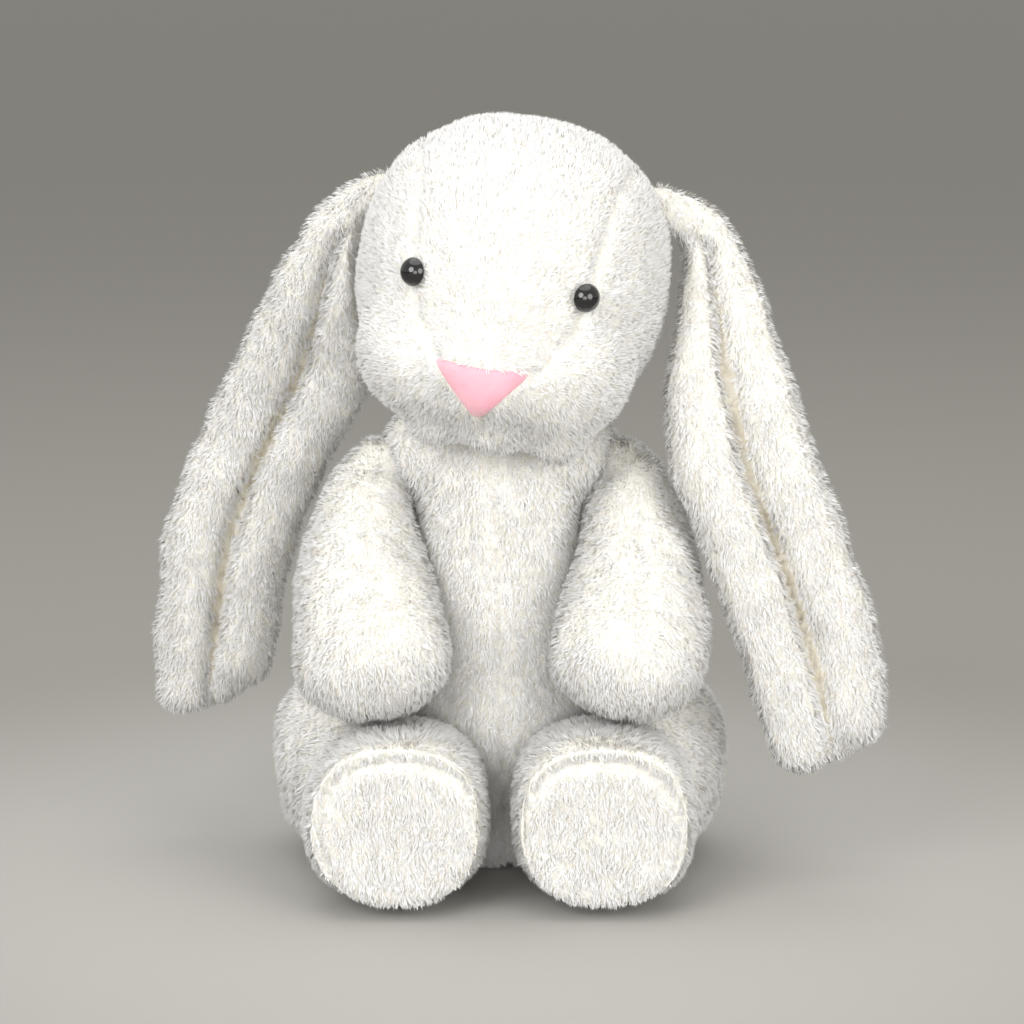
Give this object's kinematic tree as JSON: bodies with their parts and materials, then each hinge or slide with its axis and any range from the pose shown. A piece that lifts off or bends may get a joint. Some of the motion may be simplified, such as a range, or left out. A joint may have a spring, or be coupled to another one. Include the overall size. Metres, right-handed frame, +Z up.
{
  "type": "stuffed bunny rabbit",
  "caption": "Sitting plush bunny with long lop ears, bead eyes, a pink nose and jointed limbs.",
  "frame": {"origin": "on the resting surface, under the middle of the body", "axes": "+Z up, the bunny faces -Y, its own left is +X"},
  "size_m": [0.37, 0.221, 0.3767],
  "materials": {
    "white_plush": "short dense pile",
    "cream_lining": "smooth pile",
    "pink_nose": "smooth",
    "black_eye": "gloss",
    "washer_plastic": "matte",
    "fibre_stuffing": "loose fibre",
    "pellets": "matte"
  },
  "bodies": {
    "torso": {"body_front_left": "white_plush", "body_front_right": "white_plush", "body_back_left": "white_plush", "body_back_right": "white_plush", "body_stuffing": "fibre_stuffing", "body_pellet_bag": "pellets", "tail_cover": "white_plush", "tail_stuffing": "fibre_stuffing"},
    "neck": {"neck_ball": "fibre_stuffing"},
    "head": {"head_face_gusset": "white_plush", "head_cheek_left": "white_plush", "head_cheek_right": "white_plush", "head_back": "white_plush", "head_stuffing": "fibre_stuffing", "eye_left": "black_eye", "eye_right": "black_eye", "eye_washer_left": "washer_plastic", "eye_washer_right": "washer_plastic", "nose_patch": "pink_nose"},
    "ear_left": {"ear_left_outer": "white_plush", "ear_left_lining": "cream_lining"},
    "arm_left": {"arm_left_outer": "white_plush", "arm_left_inner": "white_plush", "arm_left_stuffing": "fibre_stuffing"},
    "leg_left": {"leg_left_outer": "white_plush", "leg_left_inner": "white_plush", "leg_left_sole": "white_plush", "leg_left_stuffing": "fibre_stuffing", "leg_left_pellet_bag": "pellets"},
    "ear_right": {"ear_right_outer": "white_plush", "ear_right_lining": "cream_lining"},
    "arm_right": {"arm_right_outer": "white_plush", "arm_right_inner": "white_plush", "arm_right_stuffing": "fibre_stuffing"},
    "leg_right": {"leg_right_outer": "white_plush", "leg_right_inner": "white_plush", "leg_right_sole": "white_plush", "leg_right_stuffing": "fibre_stuffing", "leg_right_pellet_bag": "pellets"}
  },
  "joints": [
    {"name": "neck_tilt", "type": "hinge", "parent": "torso", "child": "neck", "pos_m": [0, -0.01, 0.222], "axis": [0, 1, 0], "range_deg": [-4, 0]},
    {"name": "neck_nod", "type": "hinge", "parent": "neck", "child": "head", "pos_m": [0, -0.01, 0.222], "axis": [1, 0, 0], "range_deg": [-7, 9]},
    {"name": "ear_left_lift", "type": "hinge", "parent": "head", "child": "ear_left", "pos_m": [0.095, -0.012, 0.336], "axis": [0, -1, 0], "range_deg": [0, 100]},
    {"name": "ear_right_lift", "type": "hinge", "parent": "head", "child": "ear_right", "pos_m": [-0.072, 0.012, 0.338], "axis": [0, 1, 0], "range_deg": [0, 100]},
    {"name": "shoulder_left", "type": "hinge", "parent": "torso", "child": "arm_left", "pos_m": [0.067, -0.01, 0.206], "axis": [-1, 0, 0], "range_deg": [0, 32]},
    {"name": "hip_left", "type": "hinge", "parent": "torso", "child": "leg_left", "pos_m": [0.055, 0.005, 0.05], "axis": [1, 0, 0], "range_deg": [0, 76]},
    {"name": "shoulder_right", "type": "hinge", "parent": "torso", "child": "arm_right", "pos_m": [-0.067, -0.01, 0.206], "axis": [-1, 0, 0], "range_deg": [0, 60]},
    {"name": "hip_right", "type": "hinge", "parent": "torso", "child": "leg_right", "pos_m": [-0.055, 0.005, 0.05], "axis": [1, 0, 0], "range_deg": [0, 76]}
  ]
}
